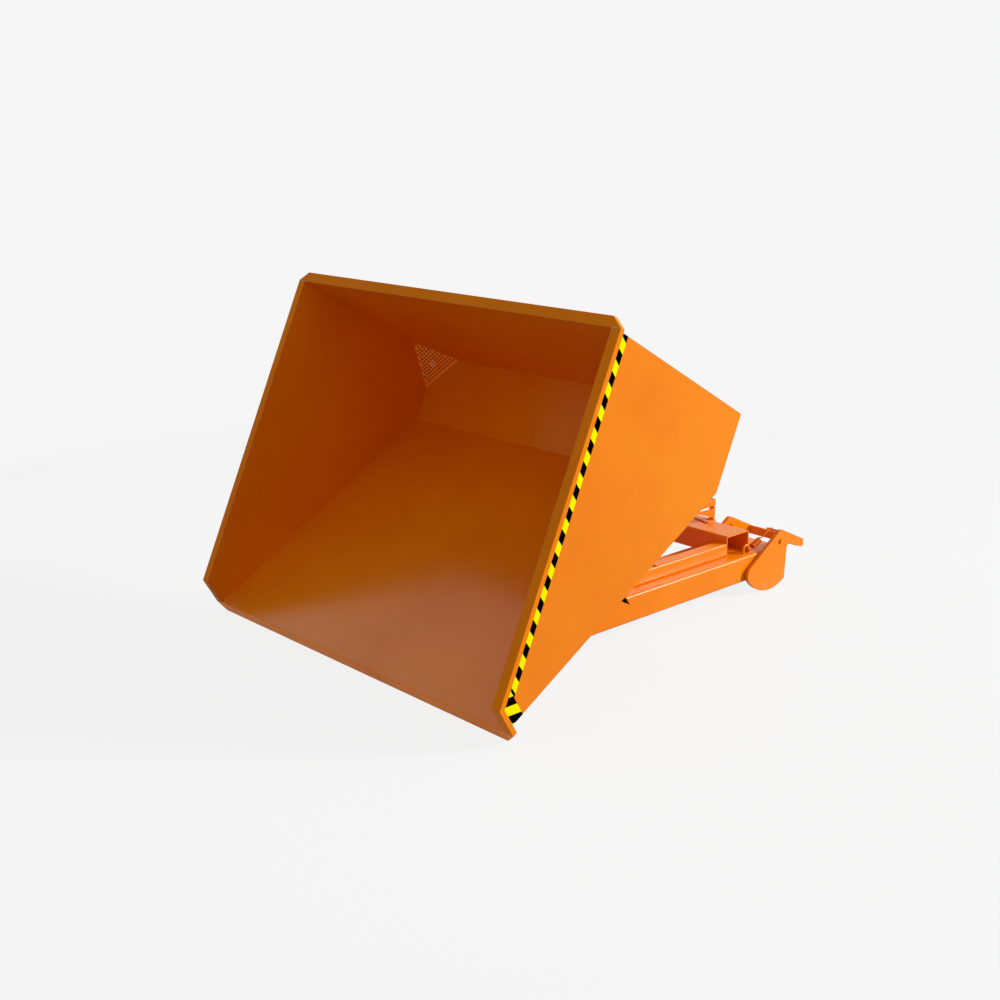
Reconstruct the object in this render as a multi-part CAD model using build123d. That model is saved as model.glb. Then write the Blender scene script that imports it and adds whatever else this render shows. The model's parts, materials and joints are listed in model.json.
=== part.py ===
from build123d import *
import math
import os

# Swarf tipping container, shown tipped: a sheet skip hinged on a base with two fork pockets.
# X runs across, -Y is the pouring side, Z = 0 is the floor. Lengths in mm, angles in degrees.
# The pieces are drawn with Y counted from the tipping hinge and the skip upright.

# Skip sheet and its rims
sheet = 3.0
bend = 2.5                    # inner radius of the folds
rim_width = 1200.0            # over the side rims
side_rim = 26.0               # from the wall's inner face to the rim's outer edge
back_rim = 27.0
lip_rim = 33.0
rim_return = 14.5             # turned edge of every rim
rim_round = 2.5
on_face = 0.3                 # an edge this near to a rim's face is on it
back_chamfer = (32.0, 25.0)   # rim corners: across, and along the rim's own width
lip_chamfer = (30.0, 28.0)

# Skip seen from the side
skip_depth = 552.0            # mouth to the underside of the floor
mouth_length = 905.0          # rear rim edge to the kink of the side rims
back_lean = 4.56
floor_length = 206.7
slope_angle = 35.6            # front slope against the floor
rear_reach = 561.0            # hinge axis to the rear rim edge, upright
tape_inset = 13.0             # rim face to the hazard tape
tape_width = 49.0
tape_thick = 0.5

# Corner sieve, its post and bolt
sieve_leg = 104.0
sieve_sheet = 2.0
sieve_hole = 5.6
sieve_pitch = 9.2
sieve_margin = 3.4            # hole centres to the sieve's edge
post_radius = 9.0
bolt_radius = 3.0
bolt_length = 22.0
bolt_head_radius = 5.5
bolt_head = 4.0
bolt_head_round = 2.6
bolt_play = 0.2

# Drain valve on the back wall
drain_inset = 36.0            # from the side wall and from the floor, inside
drain_bore = 13.0             # radii
socket_radius = 21.0
socket_length = 28.0
valve_flats = 40.0
valve_end = 16.0
valve_ball = 20.0
valve_wall = 7.0
outlet_bore = 15.5            # socket for a hose nipple
outlet_depth = 13.0
ball_play = 0.3
stem_radius = 6.0
stem_boss = 11.0
stem_boss_height = 35.0
handle_length = 120.0
handle_width = 24.0
handle_thick = 4.0
handle_gap = 0.4
handle_nut = 9.5
handle_nut_height = 7.0
stem_end = 3.0                # stem above the nut

# Base frame
pocket_centre = 249.5         # each side of the middle
pocket_width = 171.0
pocket_height = 77.7
pocket_wall = 5.0
pocket_round = 8.0
pocket_floor = 43.8           # ground clearance
pocket_front = -296.0
pocket_tail = 206.0            # pocket's end behind the cross channel's front
notch_top = (78.0, 109.5)     # relief cut in the outer wall's top edge
notch_tip = (126.5, 25.0)     # along the pocket, and below its top
rail_outer = 296.0
rail_width = 39.0
rail_height = 38.1
rail_wall = 3.0
rail_round = 5.0
rail_front = -266.0
rail_hole = 7.0
rail_hole_place = (285.0, 279.5)
channel_length = 105.0
channel_height = 59.5
channel_wall = 4.0
channel_round = 6.0
tube_size = 60.0              # front cross tube, square
tube_wall = 4.0
tube_round = 6.0
tube_front = -250.0
tube_lift = 9.0               # above the pockets' underside
foot_width = 120.0
foot_length = 100.0
foot_wall = 6.0
foot_round = 7.0

# Tipping hinge
hinge_height = 205.0
pin_radius = 12.5
pin_play = 0.05
arm_thick = 12.0
arm_eye = 27.0
arm_length = 180.0            # along the slope
arm_side_play = 1.0
pad_thick = 5.0
pad_width = 80.0
pad_margin = 20.0
lug_thick = 8.0
lug_eye = 27.0
lug_foot = 100.0
lug_base = 6.0
pin_head = 18.0
pin_head_thick = 6.0
pin_head_chamfer = 1.5
ring_thick = 4.0
ring_radius = 18.0
pin_tail = 3.0
floor_gap = 1.0               # upright skip floor above the rails

# Tipping stop
lip_gap = 0.5                 # tipped lip above the floor
stop_length = 60.0
stop_wall = 5.0
stop_pad = 10.0
stop_gap = 0.3

# Fork lever, seen from the side, placed from its pivot
lever_pivot_inset = 13.0      # before the pocket's end
lever_pivot_height = 141.0
lever_plate = 10.0
lever_gap = 3.0               # plate to pocket wall
lever_pin = 6.5
lever_pin_end = 5.0
lobe_centre = (-43.5, -1.5)
heel_angle = 209.1            # on the lobe, from +Y
toe_angle = -58.4
heel_round = 28.0
toe_round = 6.0
knee = (-0.5, 36.7)
knee_round = 20.0
arm_reach = 119.0
arm_top = -17.5
arm_low = -43.5
arm_round = 8.5
crotch = (34.0, -12.6)
crotch_round = 12.0
bar_thick = 8.0
bar_height = 26.0
bar_round = 2.0
bar_inset = 11.0              # bar's rear face to the arm's end
bar_low = -38.5
knee_pin_radius = 3.0
knee_pin_length = 40.0
knee_pin_height = 28.5
ear_thick = 10.0
ear_inset = 3.0               # ear to the pocket's side
ear_eye = 14.0
ear_foot = 44.0
lever_stop_length = 26.0
lever_stop_height = 12.0
lever_stop_place = 0.80       # along the plate's upper edge, knee to heel
lever_stop_gap = 0.3
lever_stop_over = 2.0         # stop's end past the plate

# Lever spring and its staple eye
eye_wire = 4.0                # radius
eye_side = 312.0
eye_inset = 121.5             # rear leg to the pocket's end
eye_span = 25.0
eye_height = 27.0
spring_wire = 1.6             # radius
spring_radius = 8.0           # coil, at the wire's middle
spring_turns = 10
spring_pitch = 3.75
spring_lead = 18.0            # staple leg to the first turn
spring_tail = 16.0            # last turn to the hook's shank
spring_height = 128.0         # at the staple leg
loop_end = 5.0                # straight end of the loop round the leg
hook_end = 12.0               # straight end of the hook round the knee pin
seat_gap = 0.3
spring_samples = 60           # points a turn, where its gap is measured
straight = 1e-6               # a smaller turn counts as none

# Skip lock
keeper_side = 167.0           # outer face of the keeper's two arms
keeper_sheet = 4.0
keeper_clear = 12.5           # lock pivot to the keeper's front
keeper_overhang = 25.0        # keeper before the cross channel
keeper_length = 133.0
keeper_height = 67.5
keeper_slot = (39.5, 46.5)    # slot's lower and upper edge above the channel
keeper_arm = 90.0             # lower arm, tapered to its tip
keeper_tip = 1.5
keeper_arm_rise = 6.5         # lower arm's rear corner above the channel
keeper_web = 17.0             # upright that joins the arms at the rear
keeper_foot = 96.0
keeper_foot_over = 5.0        # foot past the arms' face
keeper_foot_length = (22.5, 40.5)
keeper_foot_slant = (9.0, 69.0)  # front edge's slanting part, from the foot's end
keeper_round = 6.0
screw_radius = 3.0
screw_head = 5.0
screw_head_height = 4.0
screw_nut_height = 5.0
screw_inset = (11.0, 79.0)    # from the arms' face
screw_depth = 15.5            # before the keeper's rear
screw_play = 0.3
lock_height = 300.0           # of its pivot, upright
lock_stand = 47.9             # pivot behind the back wall
lock_thick = 8.0
lock_eye = 14.0
lock_arm = 8.0
lock_nose = 6.0
lock_nose_reach = 40.0
lock_grip = 66.0
lock_grip_radius = 10.0
lock_rope_hole = 5.0
lock_pin = 6.0
lock_cheek = 5.0
lock_side_play = 0.5
lock_foot = 70.0
lock_release = 27.0
lock_pin_head = 9.0
lock_pin_head_thick = 4.0


# Side-view geometry: points are (along Y, up Z)
def line_through(a, b, distance):
    length = math.dist(a, b)
    across = ((b[1] - a[1]) / length, -(b[0] - a[0]) / length)
    shift = (across[0] * distance, across[1] * distance)
    return (a[0] + shift[0], a[1] + shift[1]), (b[0] + shift[0], b[1] + shift[1])


def crossing(first, second):
    (ax, ay), (bx, by) = first
    (cx, cy), (dx, dy) = second
    turn = (bx - ax) * (dy - cy) - (by - ay) * (dx - cx)
    along = ((cx - ax) * (dy - cy) - (cy - ay) * (dx - cx)) / turn
    return ax + along * (bx - ax), ay + along * (by - ay)


def parallel(points, distance):
    # The same open line, moved to the right of its run, with mitred corners
    runs = [line_through(a, b, distance) for a, b in zip(points, points[1:])]
    corners = [crossing(a, b) for a, b in zip(runs, runs[1:])]
    return [runs[0][0]] + corners + [runs[-1][1]]


def band(points, near, far):
    return make_face(Polyline(*parallel(points, near), *reversed(parallel(points, far)), close=True))


def outline(points):
    return make_face(Polyline(*points, close=True))


def rounded(face, point, radius):
    corner = face.vertices().sort_by_distance((point[0], point[1], 0))[0]
    return fillet(corner, radius)


def turned(point, centre, angle):
    c = math.cos(math.radians(angle))
    s = math.sin(math.radians(angle))
    y = point[0] - centre[0]
    z = point[1] - centre[1]
    return centre[0] + y * c - z * s, centre[1] + y * s + z * c


def plate(face, start, thick):
    # A side-view face made a plate from X = start
    return extrude(Plane.YZ.offset(start) * face, amount=thick)


def disc(point, start, radius, length):
    return plate(Pos(*point) * Circle(radius), start, length)


def eye_plate(eye, radius, foot):
    # A lug: an eye drawn out to a straight foot
    edges = (Pos(*eye) * Circle(radius)).edges() + Line(*foot).edges()
    return make_hull(edges)


def mirrored(piece):
    return mirror(piece, about=Plane.YZ)


# Main places, skip upright
pocket_top = pocket_floor + pocket_height
rail_top = pocket_top + rail_height
channel_top = pocket_top + channel_height
mouth_height = rail_top + floor_gap + skip_depth
inner_half = rim_width / 2 - side_rim
wall_half = inner_half + sheet
hinge = (0.0, hinge_height)
lean_sin = math.sin(math.radians(back_lean))
lean_cos = math.cos(math.radians(back_lean))
slope_sin = math.sin(math.radians(slope_angle))
slope_cos = math.cos(math.radians(slope_angle))
back_top = (rear_reach - back_rim + sheet / lean_cos, mouth_height)
floor_rear = (back_top[0] - skip_depth * lean_sin / lean_cos, mouth_height - skip_depth)
floor_front = (floor_rear[0] - floor_length, floor_rear[1])
kink = (rear_reach - mouth_length, mouth_height)
lip_run = (-slope_sin, -slope_cos)
slope_drop = (floor_front[0] - kink[0]) * lip_run[0] + (floor_front[1] - kink[1]) * lip_run[1]


def on_lip(distance):
    return kink[0] + lip_run[0] * distance, kink[1] + lip_run[1] * distance


slope_end = on_lip(slope_drop)
lip_edge = on_lip(slope_drop - sheet + lip_rim)
wall_top = crossing((back_top, floor_rear), ((0, mouth_height - sheet * (1 + lean_sin)),
                                             (1, mouth_height - sheet * (1 + lean_sin))))
slope_stop = (slope_end[0] + slope_cos * sheet, slope_end[1] - slope_sin * sheet)
trough_line = [wall_top, floor_rear, floor_front, slope_stop]

# The lock follows the back wall, and the base's rear end follows the lock
lock_wall = crossing((back_top, floor_rear), ((0, lock_height), (1, lock_height)))
lock_pivot = (lock_wall[0] + lock_stand, lock_height)
keeper_front = lock_pivot[0] + keeper_clear
channel_front = keeper_front + keeper_overhang
pocket_rear = channel_front + pocket_tail
lever_pivot = (pocket_rear - lever_pivot_inset, lever_pivot_height)
eye_rear = pocket_rear - eye_inset

# The skip tips until its lip meets the floor
lip_arm = (lip_edge[0] - hinge[0], lip_edge[1] - hinge[1])
lip_turn = math.degrees(math.atan2(lip_arm[1], lip_arm[0]))
lip_fall = math.degrees(math.asin((hinge_height - lip_gap) / math.hypot(*lip_arm)))
tip_angle = 180 + lip_fall - lip_turn
origin_shift = -(turned(kink, hinge, tip_angle)[0] + lever_pivot[0] + arm_reach) / 2
to_origin = Pos(0, origin_shift, 0)
tipped = to_origin * Pos(0, *hinge) * Rot(tip_angle, 0, 0) * Pos(0, 0, -hinge_height)


# Skip: one folded sheet between two side walls
def folded_trough():
    inner_line = parallel(trough_line, sheet)
    face = band(trough_line, 0, sheet)
    for outer, inner in zip(trough_line[1:3], inner_line[1:3]):
        face = rounded(face, outer, bend + sheet)
        face = rounded(face, inner, bend)
    return plate(face, -inner_half, 2 * inner_half)


def skip_inside():
    inner_line = parallel(trough_line, sheet)
    face = outline(inner_line)
    for corner in inner_line[1:3]:
        face = rounded(face, corner, bend)
    return plate(face, -inner_half, 2 * inner_half)


def side_wall():
    rim_line = parallel([slope_end, kink, (rear_reach, mouth_height)], sheet)
    top = crossing((back_top, floor_rear), (rim_line[1], rim_line[2]))
    face = outline([top, floor_rear, floor_front, rim_line[0], rim_line[1]])
    for corner in (floor_rear, floor_front):
        face = rounded(face, corner, bend + sheet)
    return plate(face, inner_half, sheet)


def side_rim_angle():
    rim_line = [on_lip(slope_drop - sheet), kink, (rear_reach - back_rim, mouth_height)]
    flange = plate(band(rim_line, 0, sheet), inner_half, side_rim)
    edge = plate(band(rim_line, 0, rim_return), rim_width / 2 - sheet, sheet)
    angle = flange + edge
    outer = angle.edges().filter_by_position(Axis.X, rim_width / 2, rim_width / 2)
    front = [e for e in outer if on_rim_face(e.center())]
    return fillet(front, rim_round)


def on_rim_face(point):
    # On the mouth's plane or the lip's plane
    forward = (point.Y - kink[0]) * slope_cos - (point.Z - kink[1]) * slope_sin
    return abs(point.Z - mouth_height) < on_face or abs(forward) < on_face


def end_rim(width, chamfer):
    # Rim with cut-off corners; its face is the local XY plane and its wall edge lies on local X
    half = rim_width / 2
    edge = [(-half, 0), (-half, width - chamfer[1]), (-half + chamfer[0], width)]
    edge = edge + [(-x, y) for x, y in reversed(edge)]
    flange = extrude(outline(edge), amount=-sheet)
    turned_edge = extrude(band(edge, 0, sheet), amount=-rim_return)
    angle = flange + turned_edge
    front = angle.edges().filter_by_position(Axis.Z, 0, 0)
    return fillet([e for e in front if e.center().Y > on_face], rim_round)


def hazard_band():
    line = [slope_end, kink, (rear_reach - back_rim, mouth_height)]
    face = band(line, tape_inset, tape_inset + tape_width)
    wall = outline([back_top, floor_rear, floor_front, slope_end, kink])
    return plate(face & wall, wall_half, tape_thick)


inside = skip_inside()
trough = folded_trough()
back_rim_plane = Plane((0, rear_reach - back_rim, mouth_height), x_dir=(1, 0, 0), z_dir=(0, 0, 1))
lip_start = on_lip(slope_drop - sheet)
lip_plane = Plane((0, *lip_start), x_dir=(-1, 0, 0), z_dir=(0, -slope_cos, slope_sin))

# Sieve across the far rear corner of the skip floor
inner_corner = parallel(trough_line, sheet)[1]
corner = Vector(-inner_half, *inner_corner)
wall_up = Vector(0, lean_sin, lean_cos)
sieve_corners = [corner + Vector(1, 0, 0) * sieve_leg, corner + wall_up * sieve_leg,
                 corner + Vector(0, -1, 0) * sieve_leg]
sieve_middle = (sieve_corners[0] + sieve_corners[1] + sieve_corners[2]) / 3
sieve_normal = (sieve_corners[1] - sieve_corners[0]).cross(sieve_corners[2] - sieve_corners[0])
if sieve_normal.dot(sieve_middle - corner) < 0:
    sieve_normal = sieve_normal * -1
sieve_plane = Plane(sieve_middle, x_dir=sieve_corners[0] - sieve_corners[2], z_dir=sieve_normal)


def sieve_holes():
    flat = [sieve_plane.to_local_coords(c) for c in sieve_corners]
    count = int(sieve_leg / sieve_pitch)
    places = []
    for row in range(-count, count + 1):
        for column in range(-count, count + 1):
            # The bolt lies in the middle of four holes
            place = Vector(column + 0.5, row + 0.5) * sieve_pitch
            clear = min(edge_distance(place, a, b) for a, b in zip(flat, flat[1:] + flat[:1]))
            if clear > sieve_margin and place.length > bolt_head_radius + sieve_hole / 2:
                places.append(place)
    return places


def edge_distance(place, a, b):
    # Distance inside the edge a to b of a triangle round the local origin
    run = (b - a).normalized()
    side = run.cross(place - a).Z
    return side if run.cross(Vector(0, 0) - a).Z > 0 else -side


def corner_sieve():
    blank = extrude(Rectangle(2 * sieve_leg, 2 * sieve_leg), amount=-sieve_sheet)
    holes = [Pos(place) * Circle(sieve_hole / 2) for place in sieve_holes()]
    holes.append(Circle(bolt_radius + bolt_play))
    cut = extrude(Sketch() + holes, amount=-sieve_sheet)
    return sieve_plane * (blank - cut) & inside


def sieve_post():
    post = Pos(0, 0, -sieve_sheet) * extrude(Circle(post_radius), amount=-sieve_leg)
    hole = extrude(Circle(bolt_radius + bolt_play), amount=-bolt_length - bolt_play)
    return sieve_plane * (post - hole) & inside


def sieve_bolt():
    shank = extrude(Circle(bolt_radius), amount=-bolt_length)
    head = extrude(Circle(bolt_head_radius), amount=bolt_head)
    head = fillet(head.edges().group_by(Axis.Z)[-1], bolt_head_round)
    return sieve_plane * (shank + head)


# Drain valve, drawn along local Z away from the back wall, stem along local Y
wall_out = Vector(0, lean_cos, -lean_sin)
drain_foot = corner + Vector(drain_inset, 0, 0) + wall_up * drain_inset + wall_out * sheet
drain_plane = Plane(drain_foot, x_dir=(-1, 0, 0), z_dir=wall_out)
ball_place = socket_length + valve_end + valve_ball
valve_length = 2 * (valve_end + valve_ball)
handle_level = stem_boss_height + handle_gap
nut_level = handle_level + handle_thick


def across_stem(face, start, height):
    # A face square to the stem, at a height above the flow axis
    return Plane((0, start, ball_place), x_dir=(-1, 0, 0), z_dir=(0, 1, 0)) * extrude(face, amount=height)


def drain_socket():
    return drain_plane * extrude(Circle(socket_radius) - Circle(drain_bore), amount=socket_length)


def drain_body():
    hexagon = RegularPolygon(valve_flats / 2, 6, major_radius=False)
    ends = Pos(0, 0, socket_length) * extrude(hexagon, amount=valve_length)
    ends = ends - Pos(0, 0, socket_length + valve_end) * extrude(hexagon, amount=2 * valve_ball)
    shell = Pos(0, 0, ball_place) * Sphere(valve_ball + valve_wall)
    body = ends + shell + across_stem(Circle(stem_boss), 0, stem_boss_height)
    body = body - Pos(0, 0, ball_place) * Sphere(valve_ball + ball_play)
    body = body - Pos(0, 0, socket_length) * extrude(Circle(drain_bore), amount=valve_length)
    body = body - Pos(0, 0, socket_length + valve_length) * extrude(Circle(outlet_bore), amount=-outlet_depth)
    return drain_plane * (body - across_stem(Circle(stem_radius + pin_play), 0, stem_boss_height))


def drain_ball():
    # Shut: its bore lies across the flow
    bore = Rot(0, 90, 0) * extrude(Circle(drain_bore), amount=valve_ball, both=True)
    return drain_plane * (Pos(0, 0, ball_place) * (Sphere(valve_ball) - bore))


def drain_stem():
    stem = across_stem(Circle(stem_radius), 0, nut_level + handle_nut_height + stem_end)
    return drain_plane * (stem - Pos(0, 0, ball_place) * Sphere(valve_ball))


def drain_handle():
    reach = handle_length - handle_width
    bar = Pos(reach / 2, 0) * SlotCenterToCenter(reach, handle_width) - Circle(stem_radius)
    return drain_plane * across_stem(bar, handle_level, handle_thick)


def drain_nut():
    nut = RegularPolygon(handle_nut, 6, major_radius=False) - Circle(stem_radius)
    return drain_plane * across_stem(nut, nut_level, handle_nut_height)


# Tipping hinge: arm and pad under the slope, bracket on the rail
hinge_side = rail_outer - rail_width / 2
slope_foot = crossing((hinge, (hinge[0] + slope_sin, hinge[1] + slope_cos)), (floor_front, slope_end))


def along_slope(distance, below):
    return (slope_foot[0] - slope_cos * distance - slope_sin * below,
            slope_foot[1] + slope_sin * distance - slope_cos * below)


def hinge_arm():
    foot = (along_slope(-arm_length / 2, pad_thick), along_slope(arm_length / 2, pad_thick))
    face = eye_plate(hinge, arm_eye, foot) - Pos(*hinge) * Circle(pin_radius + pin_play)
    return plate(face, hinge_side - arm_thick / 2, arm_thick)


def hinge_pad():
    reach = arm_length / 2 + pad_margin
    line = [along_slope(reach, 0), along_slope(-reach, 0)]
    return plate(band(line, 0, pad_thick), hinge_side - pad_width / 2, pad_width)


lug_inner = arm_thick / 2 + arm_side_play
lug_outer = lug_inner + lug_thick


def hinge_bracket():
    foot_height = rail_top + lug_base
    foot = ((-lug_foot / 2, foot_height), (lug_foot / 2, foot_height))
    face = eye_plate(hinge, lug_eye, foot) - Pos(*hinge) * Circle(pin_radius)
    lugs = [plate(face, hinge_side + side, lug_thick) for side in (-lug_outer, lug_inner)]
    base = Pos(hinge_side, 0, rail_top) * extrude(Rectangle(rail_width, lug_foot), amount=lug_base)
    return base + lugs


def hinge_pin():
    inner_end = hinge_side - lug_outer - ring_thick - pin_tail
    shaft = disc(hinge, inner_end, pin_radius, hinge_side + lug_outer - inner_end)
    head = disc(hinge, hinge_side + lug_outer, pin_head, pin_head_thick)
    return shaft + chamfer(head.edges().group_by(Axis.X)[-1], pin_head_chamfer)


def hinge_ring():
    ring = Pos(*hinge) * (Circle(ring_radius) - Circle(pin_radius))
    return plate(ring, hinge_side - lug_outer - ring_thick, ring_thick)


# Tipping stop: a wedge seat on each rail, parallel to the tipped slope, with a rubber pad
tipped_slope = [turned(slope_end, hinge, tip_angle), turned(floor_front, hinge, tip_angle)]
stop_ends = [(rail_front, rail_top), (rail_front + stop_length, rail_top)]


def under_slope(y, gap):
    line = line_through(*tipped_slope, gap)
    return crossing(line, ((y, 0), (y, 1)))


def tip_stop():
    top = [under_slope(end[0], stop_gap + stop_pad) for end in stop_ends]
    wedge = outline([stop_ends[0], stop_ends[1], top[1], top[0]])
    seat = plate(wedge, rail_outer - rail_width, rail_width)
    hollow = outline([(stop_ends[0][0] + stop_wall, rail_top), (stop_ends[1][0] - stop_wall, rail_top),
                      under_slope(stop_ends[1][0] - stop_wall, stop_gap + stop_pad + stop_wall),
                      under_slope(stop_ends[0][0] + stop_wall, stop_gap + stop_pad + stop_wall)])
    return seat - plate(hollow, rail_outer - rail_width, rail_width)


def tip_pad():
    low = [under_slope(end[0], stop_gap + stop_pad) for end in stop_ends]
    return plate(band(low, 0, -stop_pad), rail_outer - rail_width, rail_width)


# Base frame
def hollow_bar(width, height, round_over, wall):
    outer = RectangleRounded(width, height, round_over)
    return outer - RectangleRounded(width - 2 * wall, height - 2 * wall, round_over - wall)


def along_y(face, start, length):
    # A cross-section in X and Z made a bar from Y = start
    return Plane((0, start, 0), x_dir=(-1, 0, 0), z_dir=(0, 1, 0)) * extrude(face, amount=length)


def section_at(face, x, z):
    return Pos(-x, z) * face


def fork_pocket():
    box = section_at(hollow_bar(pocket_width, pocket_height, pocket_round, pocket_wall),
                     pocket_centre, pocket_floor + pocket_height / 2)
    tube = along_y(box, pocket_front, pocket_rear - pocket_front)
    tip = (notch_tip[0], pocket_top - notch_tip[1])
    notch = outline([(notch_top[0], pocket_top), (notch_top[1], pocket_top), tip])
    return tube - plate(notch, pocket_centre + pocket_width / 2 - 2 * pocket_wall, 2 * pocket_wall)


def rail():
    box = section_at(hollow_bar(rail_width, rail_height, rail_round, rail_wall),
                     rail_outer - rail_width / 2, pocket_top + rail_height / 2)
    bar = along_y(box, rail_front, channel_front - rail_front)
    hole = extrude(Circle(rail_hole), amount=-2 * rail_wall)
    return bar - Pos(*rail_hole_place, rail_top) * hole


def rear_channel():
    line = [(channel_front, pocket_top), (channel_front, channel_top),
            (channel_front + channel_length, channel_top), (channel_front + channel_length, pocket_top)]
    face = band(line, 0, channel_wall)
    for outer, inner in zip(line[1:3], parallel(line, channel_wall)[1:3]):
        face = rounded(face, outer, channel_round)
        face = rounded(face, inner, channel_round - channel_wall)
    bar = plate(face, -rail_outer, 2 * rail_outer)
    hole = extrude(Circle(screw_radius + screw_play), amount=-2 * channel_wall)
    return bar - [Pos(*place, channel_top) * hole for place in screw_places]


def cross_tube():
    half = pocket_centre - pocket_width / 2
    face = Pos(tube_front + tube_size / 2, pocket_floor + tube_lift + tube_size / 2) * hollow_bar(
        tube_size, tube_size, tube_round, tube_wall)
    return plate(face, -half, 2 * half)


def front_foot():
    half = foot_width / 2
    line = [(-half, pocket_floor), (-half, 0), (half, 0), (half, pocket_floor)]
    face = band(line, 0, -foot_wall)
    for outer, inner in zip(line[1:3], parallel(line, -foot_wall)[1:3]):
        face = rounded(face, outer, foot_round)
        face = rounded(face, inner, foot_round - foot_wall)
    return along_y(Pos(-pocket_centre, 0) * face, pocket_front, foot_length)


# Fork lever: two plates beside the pocket, joined by a bar behind it, whose lobes stand on the floor
lobe_radius = lever_pivot[1] + lobe_centre[1]


def from_pivot(offset):
    return lever_pivot[0] + offset[0], lever_pivot[1] + offset[1]


def on_lobe(angle):
    turn = math.radians(angle)
    return from_pivot((lobe_centre[0] + lobe_radius * math.cos(turn),
                       lobe_centre[1] + lobe_radius * math.sin(turn)))


def lever_face():
    heel = on_lobe(heel_angle)
    toe = on_lobe(toe_angle)
    low = from_pivot((arm_reach, arm_low))
    top = from_pivot((arm_reach, arm_top))
    edge = Polyline(toe, from_pivot(crotch), low, top, from_pivot(knee), heel)
    face = make_face(edge + ThreePointArc(heel, on_lobe((heel_angle + toe_angle) / 2 + 180), toe))
    for point, radius in ((heel, heel_round), (toe, toe_round), (from_pivot(crotch), crotch_round),
                          (low, arm_round), (top, arm_round), (from_pivot(knee), knee_round)):
        face = rounded(face, point, radius)
    return face - Pos(*lever_pivot) * Circle(lever_pin + pin_play)


pocket_sides = (pocket_centre - pocket_width / 2, pocket_centre + pocket_width / 2)
plate_starts = {"inner": pocket_sides[0] - lever_gap - lever_plate, "outer": pocket_sides[1] + lever_gap}
bar_rear = lever_pivot[0] + arm_reach - bar_inset
bar_top = lever_pivot[1] + bar_low + bar_height


def lever_bar():
    start = pocket_sides[0] - lever_gap
    middle = Pos(bar_rear - bar_thick / 2, bar_top - bar_height / 2)
    face = middle * RectangleRounded(bar_thick, bar_height, bar_round)
    return plate(face, start, pocket_sides[1] + lever_gap - start)


def knee_pin():
    place = from_pivot((0, knee_pin_height))
    return disc(place, pocket_sides[1] + lever_gap - knee_pin_length, knee_pin_radius, knee_pin_length)


ear_starts = (pocket_sides[0] + ear_inset, pocket_sides[1] - ear_inset - ear_thick)


def lever_ears():
    foot = ((pocket_rear - ear_foot, pocket_top), (pocket_rear, pocket_top))
    face = eye_plate(lever_pivot, ear_eye, foot) - Pos(*lever_pivot) * Circle(lever_pin)
    return [plate(face, start, ear_thick) for start in ear_starts]


def lever_pins():
    length = ear_thick + ear_inset + lever_gap + lever_plate + lever_pin_end
    inner_start = plate_starts["inner"] - lever_pin_end
    return [disc(lever_pivot, start, lever_pin, length) for start in (inner_start, ear_starts[1])]


def lever_stop():
    # A block on the pocket's inner wall that the plate's upper edge comes up against
    knee_point = from_pivot(knee)
    heel = on_lobe(heel_angle)
    middle = [k + (h - k) * lever_stop_place for k, h in zip(knee_point, heel)]
    run = math.dist(knee_point, heel)
    step = [(h - k) / run * lever_stop_length / 2 for k, h in zip(knee_point, heel)]
    line = [(middle[0] - step[0], middle[1] - step[1]), (middle[0] + step[0], middle[1] + step[1])]
    face = band(line, lever_stop_gap, lever_stop_gap + lever_stop_height)
    return plate(face, plate_starts["inner"] - lever_stop_over, lever_stop_over + lever_plate + lever_gap)


def staple_eye():
    foot = Vector(eye_side, eye_rear - eye_span, pocket_top)
    other_foot = Vector(eye_side, eye_rear, pocket_top)
    top = Vector(eye_side, eye_rear - eye_span / 2, pocket_top + eye_height - eye_wire)
    leg = Vector(0, 0, eye_height - eye_wire - eye_span / 2)
    path = Line(foot, foot + leg) + ThreePointArc(foot + leg, top, other_foot + leg)
    path = path + Line(other_foot + leg, other_foot)
    return sweep(Pos(foot) * Circle(eye_wire), path=path)


# Lever spring: loop round the staple's rear leg, coil, shank and hook round the knee pin
spring_start = Vector(eye_side, eye_rear, spring_height)
spring_stop = Vector(eye_side, *from_pivot((0, knee_pin_height)))
spring_axis = (spring_stop - spring_start).normalized()
spring_across = spring_axis.cross(Vector(0, 0, 1)).normalized()
spring_up = spring_across.cross(spring_axis)


def in_spring(along, across, up):
    return spring_start + spring_axis * along + spring_across * across + spring_up * up


def spring_knots():
    # Points of the wire with its direction there
    seat = (eye_wire + spring_wire + seat_gap) / spring_axis.Y
    loop = spring_radius - seat
    hook = knee_pin_radius + spring_wire + seat_gap
    length = (spring_stop - spring_start).length
    rise = spring_pitch / (2 * math.pi * spring_radius)
    lead = (spring_up + spring_axis * rise).normalized()
    back = (spring_axis * rise - spring_up).normalized()
    knots = [(in_spring(loop + loop_end, spring_radius, 0), spring_axis * -1),
             (in_spring(loop, spring_radius, 0), spring_axis * -1),
             (in_spring(-seat, 0, 0), spring_across * -1),
             (in_spring(loop, -spring_radius, 0), spring_axis)]
    for half_turn in range(2 * spring_turns + 1):
        side = 1 if half_turn % 2 else -1
        place = in_spring(spring_lead + half_turn * spring_pitch / 2, side * spring_radius, 0)
        knots.append((place, back if half_turn % 2 else lead))
    coil_end = spring_lead + spring_turns * spring_pitch
    knots.append((in_spring(coil_end + spring_tail, 0, 0), spring_axis))
    knots.append((in_spring(length, 0, hook), spring_axis))
    knots.append((in_spring(length + hook, 0, 0), spring_up * -1))
    knots.append((in_spring(length, 0, -hook), spring_axis * -1))
    knots.append((in_spring(length - hook_end, 0, -hook), spring_axis * -1))
    return knots


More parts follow.
